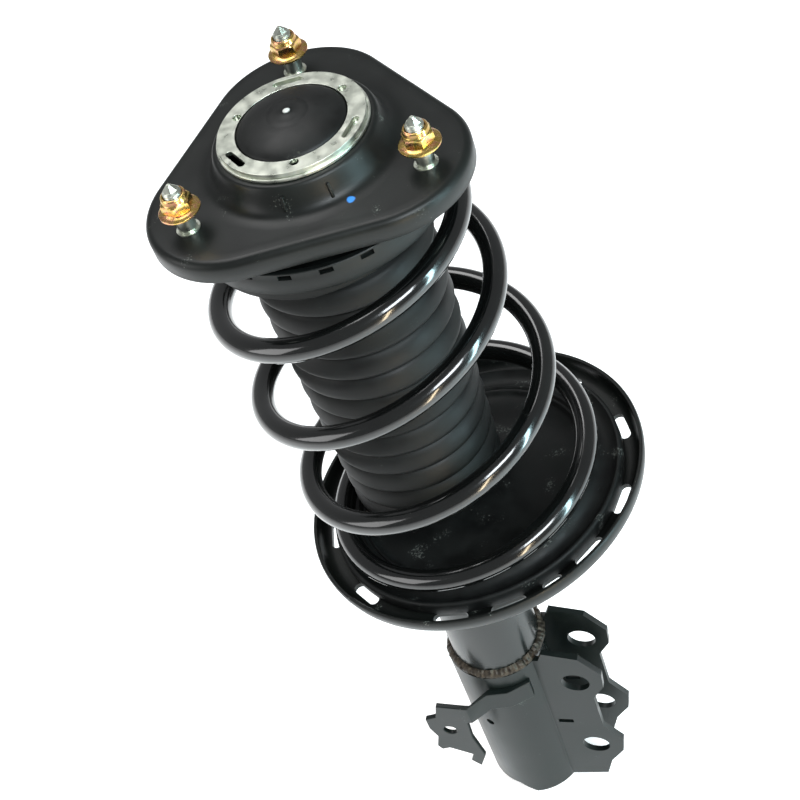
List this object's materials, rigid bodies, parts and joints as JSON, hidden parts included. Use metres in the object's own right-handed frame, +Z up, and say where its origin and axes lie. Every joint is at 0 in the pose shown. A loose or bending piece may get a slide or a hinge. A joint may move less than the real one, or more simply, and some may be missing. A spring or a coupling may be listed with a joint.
{
  "type": "suspension strut assembly",
  "caption": "Front suspension strut with a three-stud top mount, strut bearing, leaning coil spring, bellows boot, damper and two-bolt knuckle bracket.",
  "frame": {"origin": "centre of the three mounting studs, on the top face of the mount plate", "axes": "+Z up along the damper rod and the studs; +X outward, from the damper tube to the knuckle bolts; +Y along the knuckle bolts"},
  "size_m": [0.1751, 0.1765, 0.5238],
  "materials": {
    "black_paint": "satin",
    "body_paint": "satin",
    "gloss_paint": "gloss",
    "zinc": "satin",
    "yellow_zinc": "iridescent zinc plate",
    "weld_steel": "rough bead",
    "plain_steel": "machined",
    "chrome": "polished",
    "rubber": "matt",
    "foam": "matt foam",
    "black_plastic": "matt"
  },
  "bodies": {
    "top_mount": {"mount_plate": "black_paint", "mount_studs": "zinc", "retainer_ring_lower": "zinc", "retainer_ring": "zinc", "mount_shell": "black_paint", "mount_isolator": "rubber", "mount_core": "plain_steel", "rod_washer": "plain_steel", "rod_nut": "plain_steel", "bearing_upper_race": "plain_steel", "bump_cup": "black_paint", "bump_stop": "foam", "piston_rod": "chrome", "rebound_stop": "plain_steel", "piston": "plain_steel", "piston_band": "black_plastic", "piston_nut": "plain_steel"},
    "cap": {"dust_cap": "black_plastic"},
    "nut_1": {"flange_nut_1": "yellow_zinc"},
    "nut_2": {"flange_nut_2": "yellow_zinc"},
    "nut_3": {"flange_nut_3": "yellow_zinc"},
    "bearing_set": {"bearing_cage": "black_plastic", "bearing_balls": "plain_steel"},
    "upper_seat": {"bearing_lower_race": "black_plastic", "upper_spring_seat": "black_paint", "upper_insulator": "rubber", "coil_spring": "gloss_paint", "dust_boot": "rubber"},
    "strut_body": {"strut_tube": "body_paint", "rod_seal": "rubber", "rod_guide": "plain_steel", "guide_bush": "black_plastic", "pressure_tube": "plain_steel", "base_valve": "plain_steel", "tube_base": "body_paint", "lower_spring_seat": "black_paint", "lower_insulator": "rubber", "seat_sleeve": "body_paint", "knuckle_bracket": "body_paint", "bracket_weld": "weld_steel", "hose_bracket": "body_paint"}
  },
  "joints": [
    {"name": "steering", "type": "hinge", "parent": "top_mount", "child": "upper_seat", "pos_m": [0, 0, 0], "axis": [0, 0, 1], "continuous": true},
    {"name": "bearing_roll", "type": "hinge", "parent": "top_mount", "child": "bearing_set", "pos_m": [0, 0, 0], "axis": [0, 0, 1], "continuous": true},
    {"name": "damper_slide", "type": "slide", "parent": "upper_seat", "child": "strut_body", "axis": [0, 0, 1], "range_m": [0, 0.115], "stiffness_N_per_m": 20000, "springref_m": -0.03, "deforming": ["coil_spring", "dust_boot"]},
    {"name": "nut_1_turns_off", "type": "slide", "parent": "top_mount", "child": "nut_1", "axis": [0, 0, 1], "range_m": [-0.0095, 0.0145]},
    {"name": "nut_2_turns_off", "type": "slide", "parent": "top_mount", "child": "nut_2", "axis": [0, 0, 1], "range_m": [-0.0095, 0.0145]},
    {"name": "nut_3_turns_off", "type": "slide", "parent": "top_mount", "child": "nut_3", "axis": [0, 0, 1], "range_m": [-0.0095, 0.0145]},
    {"name": "cap_pulls_off", "type": "slide", "parent": "top_mount", "child": "cap", "axis": [0, 0, 1], "range_m": [0, 0.03]}
  ],
  "couplings": [
    {"joint": "bearing_roll", "follows": "steering", "ratio": 0.5}
  ]
}
